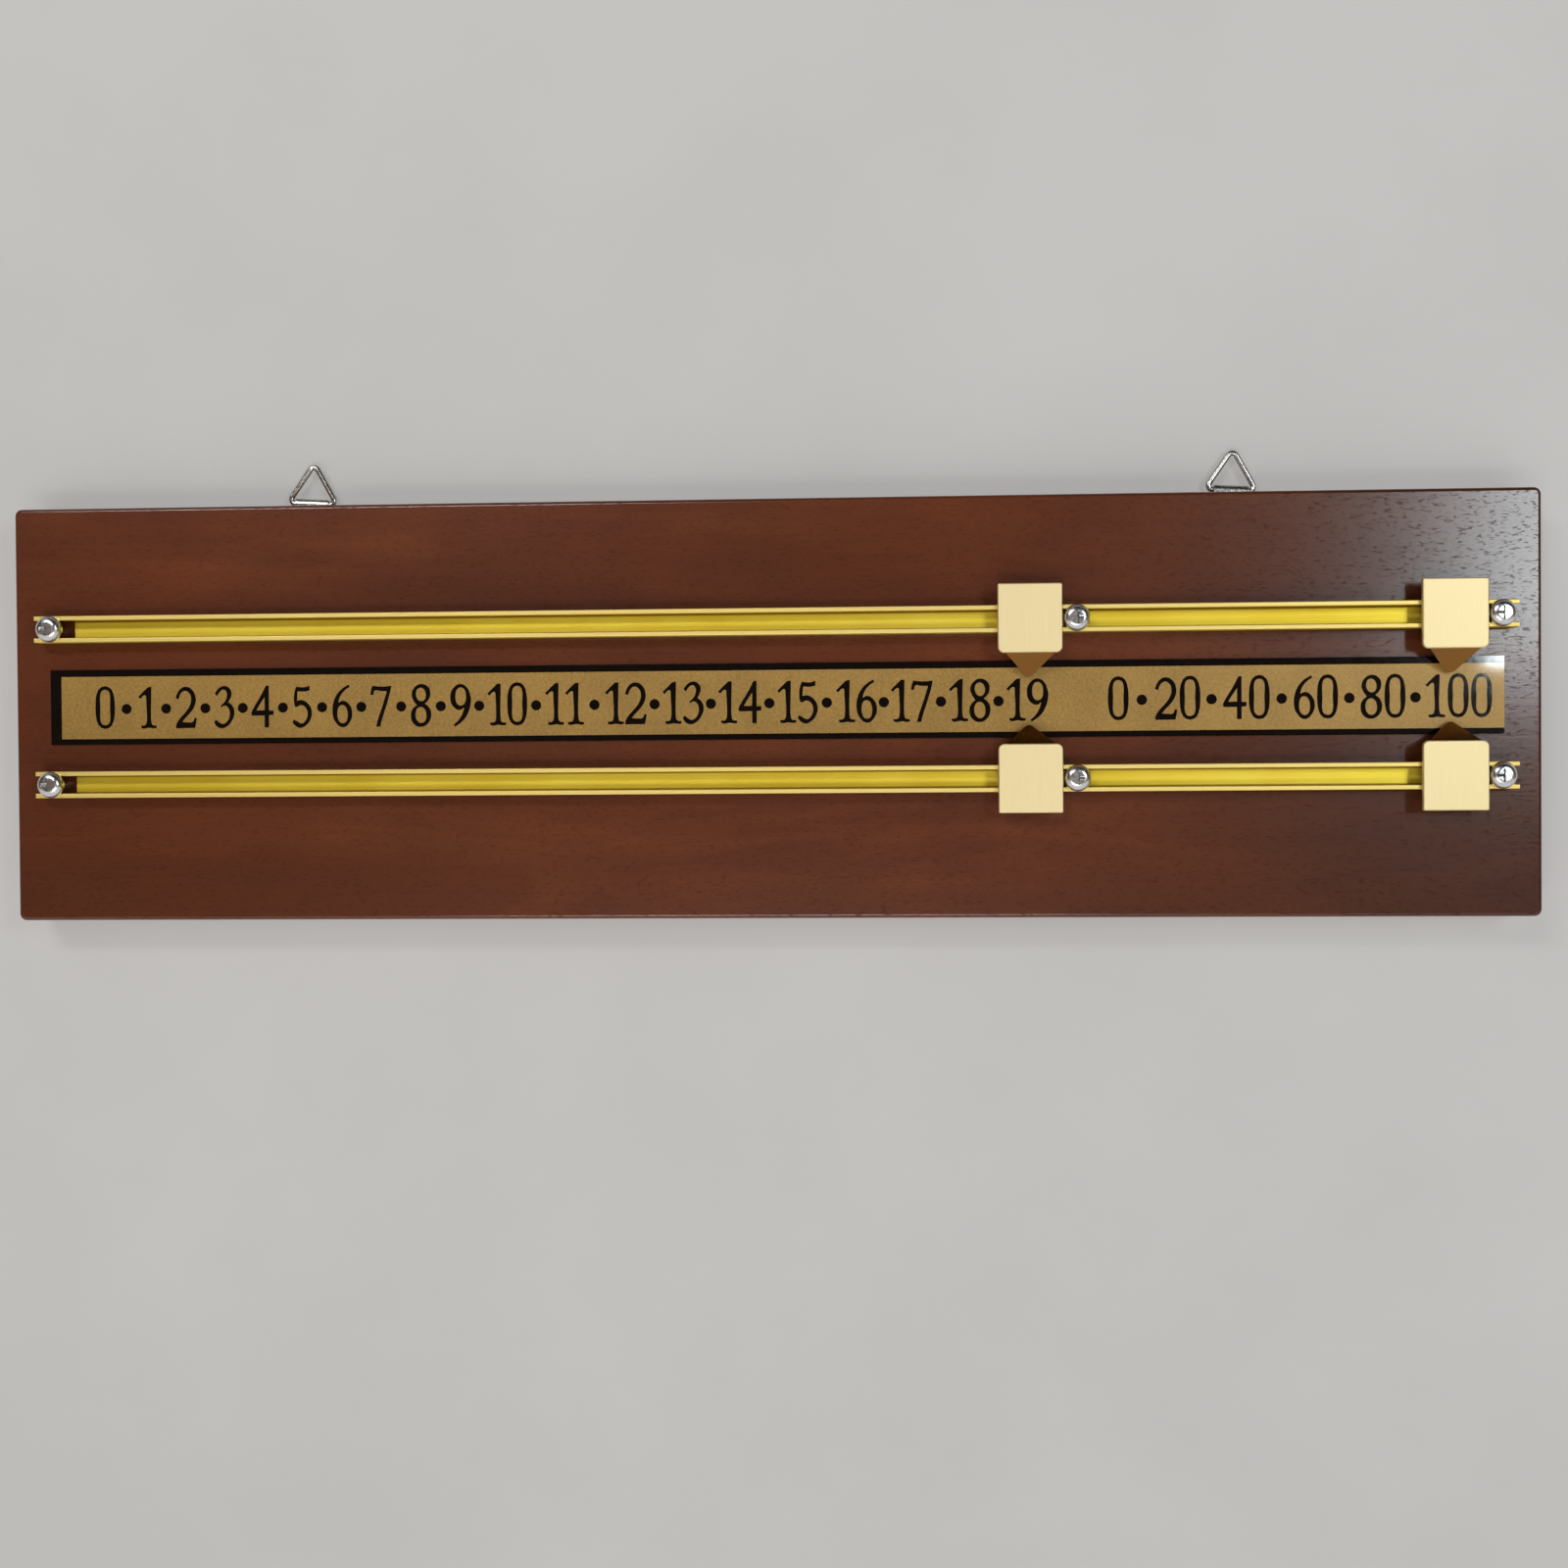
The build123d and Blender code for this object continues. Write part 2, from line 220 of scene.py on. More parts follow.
# Real flake is far finer, and is drawn this coarse so that its grain shows.
flake = add_node(tree, "ShaderNodeTexNoise", {
    "Vector": place.outputs["Object"], "Scale": 1 / (flake_size * MM), "Detail": 3, "Roughness": 0.7,
})
cloud = add_node(tree, "ShaderNodeTexNoise", {
    "Vector": place.outputs["Object"], "Scale": 1 / (gold_cloud_size * MM), "Detail": 2,
})
flake_colour = add_node(tree, "ShaderNodeValToRGB", {"Fac": flake.outputs["Fac"]})
set_ramp(flake_colour, (0.3, "#89682c"), (0.5, "#977534"), (0.7, "#a68240"))
cloud_shade = add_node(tree, "ShaderNodeMapRange", {
    "Value": cloud.outputs["Fac"], "From Min": 0.35, "From Max": 0.65, "To Min": 0.93, "To Max": 1.07,
})
gold_colour = add_node(tree, "ShaderNodeVectorMath", {
    0: flake_colour.outputs["Color"], "Scale": cloud_shade.outputs[0],
}, operation="SCALE")
gold_roughness = add_node(tree, "ShaderNodeMapRange", {
    "Value": flake.outputs["Fac"], "From Min": 0.3, "From Max": 0.7, "To Min": 0.35, "To Max": 0.5,
})
gold_surface = add_node(tree, "ShaderNodeBsdfPrincipled", {
    "Base Color": gold_colour.outputs[0], "Metallic": 0.25, "Roughness": gold_roughness.outputs[0],
    "Specular IOR Level": 0.5, "Coat Weight": 1, "Coat Roughness": 0.05, "Coat IOR": 1.6,
})
add_node(tree, "ShaderNodeOutputMaterial", {"Surface": gold_surface.outputs[0]})
dress(["number_strip"], gold_print)

# The black dries glossy, so a lamp in it stays almost sharp.
black_ink = new_material("gloss_black_screen_ink")
tree = black_ink.node_tree
place = add_node(tree, "ShaderNodeTexCoord")
ink_wave = add_node(tree, "ShaderNodeTexNoise", {
    "Vector": place.outputs["Object"], "Scale": 1 / (black_wave_length * MM), "Detail": 2,
})
ink_colour = add_node(tree, "ShaderNodeValToRGB", {"Fac": ink_wave.outputs["Fac"]})
set_ramp(ink_colour, (0.3, "#040303"), (0.7, "#0a0707"))
ink_roughness = add_node(tree, "ShaderNodeMapRange", {
    "Value": ink_wave.outputs["Fac"], "From Min": 0.3, "From Max": 0.7, "To Min": 0.05, "To Max": 0.09,
})
ink_surface = add_node(tree, "ShaderNodeBsdfPrincipled", {
    "Base Color": ink_colour.outputs[0], "Roughness": ink_roughness.outputs[0],
    "Specular IOR Level": 0.5,
})
add_node(tree, "ShaderNodeOutputMaterial", {"Surface": ink_surface.outputs[0]})


def finish_ink(piece, name):
    """Lays a film drawn flat in millimetres on the strip's face, and gives it the black ink."""
    piece.name = name
    bpy.ops.object.select_all(action="DESELECT")
    piece.select_set(True)
    bpy.context.view_layer.objects.active = piece
    piece.scale = (MM, MM, MM)
    piece.rotation_euler = (pi / 2, 0, 0)
    piece.location = (board_low.x, strip_low.y, board_low.z)
    bpy.ops.object.transform_apply(location=True, rotation=True, scale=True)
    piece.data.materials.clear()
    piece.data.materials.append(black_ink)
    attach(piece, "board")


# Flat drawings use millimetres from the board's lower left corner, as a ruler on it would read.
strip_left = (strip_low.x - board_low.x) / MM
strip_right = (strip_high.x - board_low.x) / MM
strip_bottom = (strip_low.z - board_low.z) / MM
strip_top = (strip_high.z - board_low.z) / MM
strip_length = strip_right - strip_left
strip_width = strip_top - strip_bottom

bpy.ops.object.select_all(action="DESELECT")
bpy.ops.mesh.primitive_plane_add(
    size=1, location=((strip_left + strip_right) / 2, (strip_bottom + strip_top) / 2, 0),
)
border = bpy.context.active_object
border.scale = (strip_length, strip_width, 1)
bpy.ops.object.transform_apply(location=True, rotation=True, scale=True)
bpy.ops.object.mode_set(mode="EDIT")
for spot, across in (
    ((strip_left + border_left, 0, 0), (1, 0, 0)),
    ((0, strip_top - border_top, 0), (0, 1, 0)),
    ((0, strip_bottom + border_bottom, 0), (0, 1, 0)),
):
    bpy.ops.mesh.select_all(action="SELECT")
    bpy.ops.mesh.bisect(plane_co=spot, plane_no=across)
bpy.ops.object.mode_set(mode="OBJECT")
for face in border.data.polygons:
    beside_border = face.center.x > strip_left + border_left
    between_borders = strip_bottom + border_bottom < face.center.y < strip_top - border_top
    face.select = beside_border and between_borders
bpy.ops.object.mode_set(mode="EDIT")
bpy.ops.mesh.delete(type="FACE")
bpy.ops.object.mode_set(mode="OBJECT")
solid = border.modifiers.new("film", "SOLIDIFY")
solid.thickness = ink_thickness
solid.offset = 1
bpy.ops.object.modifier_apply(modifier=solid.name)
finish_ink(border, "printed_border")


# Numerals: printed in the same black, in an old-style roman with thick downstrokes.
# Each digit is drawn once, in millimetres from its own left edge and the line it stands on,
# and the labels are spaced along the strip with a round dot between neighbours.

digit_line = 51.2
dot_diameter, dot_height = 2.7, 56.4
unit_middles = (
    24.5, 36, 46.5, 56.8, 67.1, 77.8, 88.6, 99, 109.7, 120.3,
    132.7, 147.9, 164.1, 179.2, 194.1, 209.2, 224.6, 239, 254, 268.9,
)
hundred_middles = (292.3, 307.5, 325, 342.7, 359.7, 378.8)
unit_gap, hundred_gap = 0.3, 0.6
curve_steps, weld_distance = 6, 0.001
corner = "VECTOR"


def oval(middle_x, middle_y, half_width, half_height):
    """The four points of an oval."""
    return [
        (middle_x + half_width, middle_y), (middle_x, middle_y + half_height),
        (middle_x - half_width, middle_y), (middle_x, middle_y - half_height),
    ]


# A point without the word corner is smooth. An outline inside the first is a hole.
digit_outlines = {
    "0": [oval(3.05, 5.63, 2.65, 5.7), oval(3.05, 5.63, 1.3, 4.75)],
    "1": [[
        (3.1, 10.95, corner), (4.05, 11.05, corner), (4.05, 1.3), (4.4, 0.85), (5.35, 0.75, corner),
        (5.45, 0.1, corner), (4.6, 0), (3.4, 0.15), (1.9, -0.05), (1.25, 0.1, corner),
        (1.15, 0.75, corner), (2.2, 0.85), (2.6, 1.3), (2.6, 8.6, corner), (2.3, 8.85),
        (1.0, 7.85, corner), (0.45, 8.35, corner), (2.0, 9.9),
    ]],
    "2": [[
        (0.25, 7.95, corner), (0.75, 9.3), (1.7, 10.5), (3.1, 10.95), (4.7, 10.2), (5.7, 8.0),
        (5.35, 5.8), (4.15, 4.0), (2.75, 2.55), (2.0, 1.6, corner), (3.6, 1.5), (4.8, 1.6),
        (5.35, 2.65, corner), (5.95, 2.6, corner), (5.7, 1.0), (5.45, 0, corner),
        (0.3, -0.05, corner), (0.35, 0.85), (1.35, 2.5), (2.9, 4.2), (4.1, 6.0), (4.45, 7.8),
        (3.9, 9.3), (2.8, 9.85), (1.7, 9.2), (1.05, 7.65, corner),
    ]],
    "3": [[
        (0.45, 9.1, corner), (1.6, 10.5), (3.2, 11.05), (4.55, 10.3), (4.98, 8.9), (4.45, 7.4),
        (4.1, 6.75, corner), (5.2, 5.8), (5.72, 4.1), (5.0, 1.8), (3.6, 0.3), (2.1, -0.15),
        (0.75, 0.55), (0.2, 1.55, corner), (0.75, 2.15, corner), (1.6, 1.4), (2.6, 1.0),
        (3.9, 1.9), (4.45, 3.7), (4.0, 5.3), (3.1, 5.85), (2.1, 5.35, corner), (2.0, 5.85, corner),
        (3.1, 6.9), (3.7, 8.4), (3.5, 9.6), (2.8, 10.1), (1.9, 9.6), (1.05, 8.45, corner),
    ]],
    "4": [
        [
            (4.15, 11.05, corner), (4.95, 11.05, corner), (4.95, 4.45, corner), (6.2, 4.45, corner),
            (6.15, 3.3, corner), (4.95, 3.2, corner), (4.95, 0, corner), (3.75, 0, corner),
            (3.75, 3.15, corner), (0.35, 3.15, corner), (0.15, 3.9, corner), (1.0, 5.5), (2.6, 8.1),
        ],
        [(3.8, 8.0, corner), (3.75, 4.55, corner), (1.55, 4.5, corner), (2.3, 5.8)],
    ],
    "5": [[
        (1.2, 10.7, corner), (3.4, 10.55), (4.75, 10.95, corner), (4.75, 9.65, corner), (3.4, 9.4),
        (1.5, 9.45, corner), (1.35, 7.0, corner), (2.6, 7.15), (4.3, 6.2), (5.3, 4.1), (4.7, 1.6),
        (3.5, 0.3), (2.0, -0.2), (0.7, 0.5), (0.05, 1.35, corner), (0.55, 2.0, corner), (1.6, 1.35),
        (2.6, 0.95), (3.7, 1.9), (4.15, 3.7), (3.6, 5.2), (2.4, 5.8), (1.2, 5.35), (0.75, 5.45, corner),
        (0.5, 7.0), (0.75, 9.5),
    ]],
    "6": [
        [
            (4.85, 11.1, corner), (2.9, 9.9), (1.4, 8.1), (0.6, 5.9), (0.45, 3.8), (1.1, 1.5),
            (3.2, -0.15), (5.2, 1.4), (5.75, 3.6), (5.0, 5.8), (3.4, 6.85), (2.05, 6.4, corner),
            (2.4, 7.7), (3.4, 9.2), (5.1, 10.55, corner),
        ],
        [(3.0, 5.75), (4.55, 3.3), (3.2, 0.9), (1.75, 3.6)],
    ],
    "7": [[
        (0.75, 10.75, corner), (3.0, 10.5), (5.85, 10.7, corner), (5.55, 9.2), (4.5, 5.6), (3.2, 1.6),
        (2.8, -0.05, corner), (1.65, -0.05, corner), (2.3, 2.2), (3.6, 6.0), (4.6, 9.3, corner),
        (2.8, 9.35), (1.35, 9.45), (1.0, 8.35, corner), (0.2, 8.3, corner), (0.4, 9.6),
    ]],
    "8": [
        [
            (3.1, 11.1), (5.1, 10.2), (5.6, 8.5), (5.1, 6.9), (4.1, 5.95, corner), (5.3, 4.8),
            (5.8, 2.9), (4.9, 0.7), (3.1, -0.2), (1.1, 0.6), (0.35, 2.8), (0.8, 4.5),
            (1.9, 5.5, corner), (0.95, 7.0), (0.6, 8.4), (1.3, 10.1),
        ],
        [(2.9, 10.1), (4.4, 8.4), (3.25, 6.55), (1.75, 8.4)],
        [(2.9, 5.05), (4.5, 2.9), (3.2, 0.8), (1.6, 2.7)],
    ],
    "9": [
        [
            (3.1, 11.0), (1.1, 9.8), (0.4, 7.3), (1.2, 5.0), (2.9, 4.15), (4.1, 4.8, corner),
            (3.6, 3.2), (2.4, 1.3), (1.3, 0.35, corner), (1.6, -0.25, corner), (3.4, 1.0),
            (5.0, 3.1), (5.9, 6.4), (5.7, 8.2), (4.9, 10.0),
        ],
        oval(3.17, 7.7, 1.43, 2.4),
    ],
}


def draw_flat(outlines):
    """A film of ink, filled between closed outlines, as a mesh."""
    bpy.ops.object.select_all(action="DESELECT")
    bpy.ops.curve.primitive_bezier_curve_add()
    drawing = bpy.context.active_object
    drawing.data.dimensions = "2D"
    drawing.data.fill_mode = "BOTH"
    drawing.data.resolution_u = curve_steps
    drawing.data.extrude = ink_thickness / 2
    drawing.data.splines.clear()
    for outline in outlines:
        spline = drawing.data.splines.new("BEZIER")
        spline.bezier_points.add(len(outline) - 1)
        spline.use_cyclic_u = True
        for point, (x, y, *kind) in zip(spline.bezier_points, outline):
            point.co = (x, y, 0)
            point.handle_left_type = point.handle_right_type = kind[0] if kind else "AUTO"
    bpy.ops.object.convert(target="MESH")
    return bpy.context.active_object


def stamp(pattern, x, y):
    """A copy of a drawing with its own mesh, moved to its place on the strip."""
    copy = pattern.copy()
    copy.data = pattern.data.copy()
    bpy.context.scene.collection.objects.link(copy)
    for vertex in copy.data.vertices:
        vertex.co += Vector((x, y, ink_thickness / 2))
    return copy


def join(pieces):
    """Joins pieces into the first one, with doubles merged and faces outwards."""
    bpy.ops.object.select_all(action="DESELECT")
    for piece in pieces:
        piece.select_set(True)
    bpy.context.view_layer.objects.active = pieces[0]
    bpy.ops.object.join()
    bpy.ops.object.mode_set(mode="EDIT")
    bpy.ops.mesh.select_all(action="SELECT")
    bpy.ops.mesh.remove_doubles(threshold=weld_distance)
    bpy.ops.mesh.normals_make_consistent(inside=False)
    bpy.ops.object.mode_set(mode="OBJECT")
    return pieces[0]


digits = {digit: draw_flat(outlines) for digit, outlines in digit_outlines.items()}
ink_sides = {
    digit: (min(v.co.x for v in piece.data.vertices), max(v.co.x for v in piece.data.vertices))
    for digit, piece in digits.items()
}
dot = draw_flat([oval(0, 0, dot_diameter / 2, dot_diameter / 2)])
numerals = []
dots = []
for labels, middles, gap in (
    ([str(number) for number in range(20)], unit_middles, unit_gap),
    ([str(number) for number in range(0, 101, 20)], hundred_middles, hundred_gap),
):
    last_end = None
    for label, middle in zip(labels, middles):
        widths = [ink_sides[digit][1] - ink_sides[digit][0] for digit in label]
        left = middle - (sum(widths) + gap * (len(label) - 1)) / 2
        if last_end is not None:
            dots.append(stamp(dot, (last_end + left) / 2, dot_height))
        for digit, width in zip(label, widths):
            numerals.append(stamp(digits[digit], left - ink_sides[digit][0], digit_line))
            left += width + gap
        last_end = left - gap
for pattern in (*digits.values(), dot):
    bpy.data.objects.remove(pattern)
finish_ink(join(numerals), "printed_numerals")
finish_ink(join(dots), "printed_dots")


# Rails: two lengths of extruded aluminium channel, bright dipped and anodised gold.
# The die leaves fine lines along them, so light spreads across the rail and not along it.
# Real die lines are finer than these, which are drawn coarser so that they show.

rows = ("upper", "lower")
die_line_length, die_line_width, die_line_depth = 90, 0.12, 0.02
dye_patch = 25
channel_depth, corner_shade_height = 4, 0.6
lip_highlight_end, lip_highlight_full = 0.25, 0.05
corner_shade_start, corner_shade_full = 1.75, 2.15
rail_boxes = {row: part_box(f"{row}_rail") for row in rows}
lip_front = rail_boxes["upper"][0].y
rail_middles = {row: (low.z + high.z) / 2 for row, (low, high) in rail_boxes.items()}
strip_middle = (rail_middles["upper"] + rail_middles["lower"]) / 2
rail_offset = (rail_middles["upper"] - rail_middles["lower"]) / 2

gold_aluminium = new_material("gold_anodised_aluminium")
tree = gold_aluminium.node_tree
place = add_node(tree, "ShaderNodeTexCoord")
line_place = add_node(tree, "ShaderNodeMapping", {
    "Vector": place.outputs["Object"],
    "Scale": (1 / (die_line_length * MM), 1 / (die_line_width * MM), 1 / (die_line_width * MM)),
})
die_lines = add_node(tree, "ShaderNodeTexNoise", {
    "Vector": line_place.outputs[0], "Scale": 1, "Detail": 2, "Roughness": 0.5,
})
dye = add_node(tree, "ShaderNodeTexNoise", {
    "Vector": place.outputs["Object"], "Scale": 1 / (dye_patch * MM), "Detail": 2,
})
dye_colour = add_node(tree, "ShaderNodeValToRGB", {"Fac": dye.outputs["Fac"]})
set_ramp(dye_colour, (0.35, "#e4c840"), (0.65, "#ecd44e"))
# The lips are painted paler than the floor, a painted highlight, and a dark line along the foot of each
# wall is painted shade, where the lips shade the floor.
axes = add_node(tree, "ShaderNodeSeparateXYZ", {0: place.outputs["Object"]})
from_strip = add_node(tree, "ShaderNodeMath", {
    0: axes.outputs["Z"], 1: strip_middle,
}, operation="SUBTRACT")
either_side = add_node(tree, "ShaderNodeMath", {0: from_strip.outputs[0]}, operation="ABSOLUTE")
off_centre = add_node(tree, "ShaderNodeMath", {
    0: either_side.outputs[0], 1: rail_offset,
}, operation="SUBTRACT")
across = add_node(tree, "ShaderNodeMath", {0: off_centre.outputs[0]}, operation="ABSOLUTE")
# Painted highlight: the lips' front faces are made paler.
lip_highlight_mask = add_node(tree, "ShaderNodeMapRange", {
    "Value": axes.outputs["Y"],
    "From Min": lip_front + lip_highlight_end * MM, "From Max": lip_front + lip_highlight_full * MM,
})
# Painted shade: the floor is darkened along the foot of each wall, under the lips.
corner_shade_mask = add_node(tree, "ShaderNodeMapRange", {
    "Value": across.outputs[0], "From Min": corner_shade_start * MM, "From Max": corner_shade_full * MM,
})
near_floor = add_node(tree, "ShaderNodeMath", {
    0: axes.outputs["Y"], 1: lip_front + (channel_depth - corner_shade_height) * MM,
}, operation="GREATER_THAN")
painted_corner_shade = add_node(tree, "ShaderNodeMath", {
    0: corner_shade_mask.outputs[0], 1: near_floor.outputs[0],
}, operation="MULTIPLY")
# The paler lips are a painted highlight, and the dark line at the walls' feet is painted shade.
with_lip_highlight = add_node(tree, "ShaderNodeMix", {
    "Factor": lip_highlight_mask.outputs[0], 6: dye_colour.outputs["Color"], 7: linear("#e6cd7c"),
}, data_type="RGBA")
gold_colour = add_node(tree, "ShaderNodeMix", {
    "Factor": painted_corner_shade.outputs[0], 6: with_lip_highlight.outputs[2], 7: linear("#8c7018"),
}, data_type="RGBA")
line_roughness = add_node(tree, "ShaderNodeMapRange", {
    "Value": die_lines.outputs["Fac"], "From Min": 0.3, "From Max": 0.7, "To Min": 0.46, "To Max": 0.58,
})
line_bump = add_node(tree, "ShaderNodeBump", {
    "Height": die_lines.outputs["Fac"], "Strength": 1, "Distance": die_line_depth * MM,
})
gold_surface = add_node(tree, "ShaderNodeBsdfPrincipled", {
    "Base Color": gold_colour.outputs[2], "Metallic": 1, "Roughness": line_roughness.outputs[0],
    "Normal": line_bump.outputs[0],
})
add_node(tree, "ShaderNodeOutputMaterial", {"Surface": gold_surface.outputs[0]})
dress([f"{row}_rail" for row in rows], gold_aluminium)


# Rail screws: cross-head pan screws of steel under bright chrome plating, driven into the board
# with their heads on the rails' lips. They mirror the room a little softly, with faint swirls.

swirl_size = 0.8

chrome = new_material("bright_chromed_steel")
tree = chrome.node_tree
place = add_node(tree, "ShaderNodeTexCoord")
swirl = add_node(tree, "ShaderNodeTexNoise", {
    "Vector": place.outputs["Object"], "Scale": 1 / (swirl_size * MM), "Detail": 3, "Distortion": 0.5,
})
chrome_colour = add_node(tree, "ShaderNodeValToRGB", {"Fac": swirl.outputs["Fac"]})
set_ramp(chrome_colour, (0.3, "#d6d6d8"), (0.7, "#e4e4e6"))
chrome_roughness = add_node(tree, "ShaderNodeMapRange", {
    "Value": swirl.outputs["Fac"], "From Min": 0.3, "From Max": 0.7, "To Min": 0.2, "To Max": 0.28,
})
chrome_surface = add_node(tree, "ShaderNodeBsdfPrincipled", {
    "Base Color": chrome_colour.outputs["Color"], "Metallic": 1, "Roughness": chrome_roughness.outputs[0],
})
add_node(tree, "ShaderNodeOutputMaterial", {"Surface": chrome_surface.outputs[0]})
dress([f"{row}_{spot}_rail_screw" for row in rows for spot in ("left", "middle", "right")], chrome)


# Sliders: each is a bent brass plate on a stud, with a plastic washer between it and the rail's
# lips and a plastic shoe inside the channel. The plate is brushed up and down and pale plated.
# The washer and shoe are moulded acetal, which is matt.

brush_length, brush_width, brush_depth = 14, 0.1, 0.01
pointer_roughness = 0.24
mould_grain = 0.4
plate_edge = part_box("upper_units_pointer_plate")[1].z - rail_middles["upper"]

brass = new_material("brushed_pale_brass")
tree = brass.node_tree
place = add_node(tree, "ShaderNodeTexCoord")
# Brushing leaves lines that spread light sideways. Real ones are finer than these, which are
# drawn coarser so that they show.
brush_place = add_node(tree, "ShaderNodeMapping", {
    "Vector": place.outputs["Object"],
    "Scale": (1 / (brush_width * MM), 1 / (brush_width * MM), 1 / (brush_length * MM)),
})
brush = add_node(tree, "ShaderNodeTexNoise", {
    "Vector": brush_place.outputs[0], "Scale": 1, "Detail": 3, "Roughness": 0.6,
})
brass_colour = add_node(tree, "ShaderNodeValToRGB", {"Fac": brush.outputs["Fac"]})
set_ramp(brass_colour, (0.3, "#e3cf9e"), (0.7, "#eddbad"))
brass_roughness = add_node(tree, "ShaderNodeMapRange", {
    "Value": brush.outputs["Fac"], "From Min": 0.3, "From Max": 0.7, "To Min": 0.5, "To Max": 0.6,
})
# The pointers are given a smoother surface and a darker, browner colour than the plates. The darker
# colour is painted shade, for the dark surroundings that the tilted pointers mirror.
axes = add_node(tree, "ShaderNodeSeparateXYZ", {0: place.outputs["Object"]})
at_pointer = add_node(tree, "ShaderNodeMath", {
    0: axes.outputs["Z"], 1: strip_middle, 2: rail_offset - plate_edge,
}, operation="COMPARE")
# Painted shade: the pointers' colour is darkened and browned.
brass_with_pointer_shade = add_node(tree, "ShaderNodeMix", {
    "Factor": at_pointer.outputs[0], 6: brass_colour.outputs["Color"], 7: linear("#926433"),
}, data_type="RGBA")
brass_polish = add_node(tree, "ShaderNodeMix", {
    "Factor": at_pointer.outputs[0], 2: brass_roughness.outputs[0], 3: pointer_roughness,
}, data_type="FLOAT")
brush_bump = add_node(tree, "ShaderNodeBump", {
    "Height": brush.outputs["Fac"], "Strength": 0.4, "Distance": brush_depth * MM,
})
brass_surface = add_node(tree, "ShaderNodeBsdfPrincipled", {
    "Base Color": brass_with_pointer_shade.outputs[2], "Metallic": 1, "Roughness": brass_polish.outputs[0],
    "Normal": brush_bump.outputs[0],
})
add_node(tree, "ShaderNodeOutputMaterial", {"Surface": brass_surface.outputs[0]})

acetal = new_material("moulded_black_acetal")
tree = acetal.node_tree
place = add_node(tree, "ShaderNodeTexCoord")
# A mould's own grain is finer, and is drawn this coarse so that it shows.
mould = add_node(tree, "ShaderNodeTexNoise", {
    "Vector": place.outputs["Object"], "Scale": 1 / (mould_grain * MM), "Detail": 3,
})
acetal_colour = add_node(tree, "ShaderNodeValToRGB", {"Fac": mould.outputs["Fac"]})
set_ramp(acetal_colour, (0.3, "#151414"), (0.7, "#242222"))
acetal_roughness = add_node(tree, "ShaderNodeMapRange", {
    "Value": mould.outputs["Fac"], "From Min": 0.3, "From Max": 0.7, "To Min": 0.4, "To Max": 0.6,
})
acetal_surface = add_node(tree, "ShaderNodeBsdfPrincipled", {
    "Base Color": acetal_colour.outputs["Color"], "Roughness": acetal_roughness.outputs[0],
})
add_node(tree, "ShaderNodeOutputMaterial", {"Surface": acetal_surface.outputs[0]})

for row in rows:
    for column in ("units", "hundreds"):
        dress([f"{row}_{column}_pointer_plate", f"{row}_{column}_stud"], brass)
        dress([f"{row}_{column}_spacer", f"{row}_{column}_shoe"], acetal)


# Hangers: bent wire rings in folded straps, each held by a screw, all nickel-plated steel.
# Nickel is warmer and darker than chrome, and drawn wire keeps faint marks.

mark_size = 0.9

nickel = new_material("nickel_plated_steel")
tree = nickel.node_tree
place = add_node(tree, "ShaderNodeTexCoord")
handling = add_node(tree, "ShaderNodeTexNoise", {
    "Vector": place.outputs["Object"], "Scale": 1 / (mark_size * MM), "Detail": 4, "Roughness": 0.6,
})
nickel_colour = add_node(tree, "ShaderNodeValToRGB", {"Fac": handling.outputs["Fac"]})
set_ramp(nickel_colour, (0.3, "#b9b6b0"), (0.7, "#cfccc6"))
nickel_roughness = add_node(tree, "ShaderNodeMapRange", {
    "Value": handling.outputs["Fac"], "From Min": 0.3, "From Max": 0.7, "To Min": 0.18, "To Max": 0.32,
})
nickel_surface = add_node(tree, "ShaderNodeBsdfPrincipled", {
    "Base Color": nickel_colour.outputs["Color"], "Metallic": 1, "Roughness": nickel_roughness.outputs[0],
})
add_node(tree, "ShaderNodeOutputMaterial", {"Surface": nickel_surface.outputs[0]})
for side in ("left", "right"):
    dress([f"{side}_hanger_strap", f"{side}_hanger_ring", f"{side}_hanger_screw"], nickel)


# Wall and floor: painted plaster behind the board, and a pale floor well below it.
# The wall shows only from in front, so the board's back can be seen, and light passes through both.
# Their paint is matt, and the wall's has hardly any mottle.

wall_gap, wall_size = 0.6, 4000
floor_drop, floor_size = 1200, 8000
mottle_size = 90
wall_own_share, floor_own_share = 0.5, 0.8
floor_colour = linear("#e6e5e3")


def seen_rays(tree):
    """One for rays from the eye and off shiny or clear things, nought for light that falls on things."""
    path = add_node(tree, "ShaderNodeLightPath")
    mirrored = add_node(tree, "ShaderNodeMath", {
        0: path.outputs["Is Glossy Ray"], 1: path.outputs["Is Transmission Ray"],
    }, operation="MAXIMUM")
    return add_node(tree, "ShaderNodeMath", {
        0: path.outputs["Is Camera Ray"], 1: mirrored.outputs[0],
    }, operation="MAXIMUM")


plaster = new_material("painted_plaster")
tree = plaster.node_tree
place = add_node(tree, "ShaderNodeTexCoord")
mottle = add_node(tree, "ShaderNodeTexNoise", {
    "Vector": place.outputs["Object"], "Scale": 1 / (mottle_size * MM), "Detail": 4, "Roughness": 0.55,
})
plaster_colour = add_node(tree, "ShaderNodeValToRGB", {"Fac": mottle.outputs["Fac"]})
set_ramp(plaster_colour, (0.3, "#c1bfbd"), (0.7, "#c6c4c2"))
matt_paint = add_node(tree, "ShaderNodeBsdfDiffuse", {"Color": plaster_colour.outputs["Color"]})
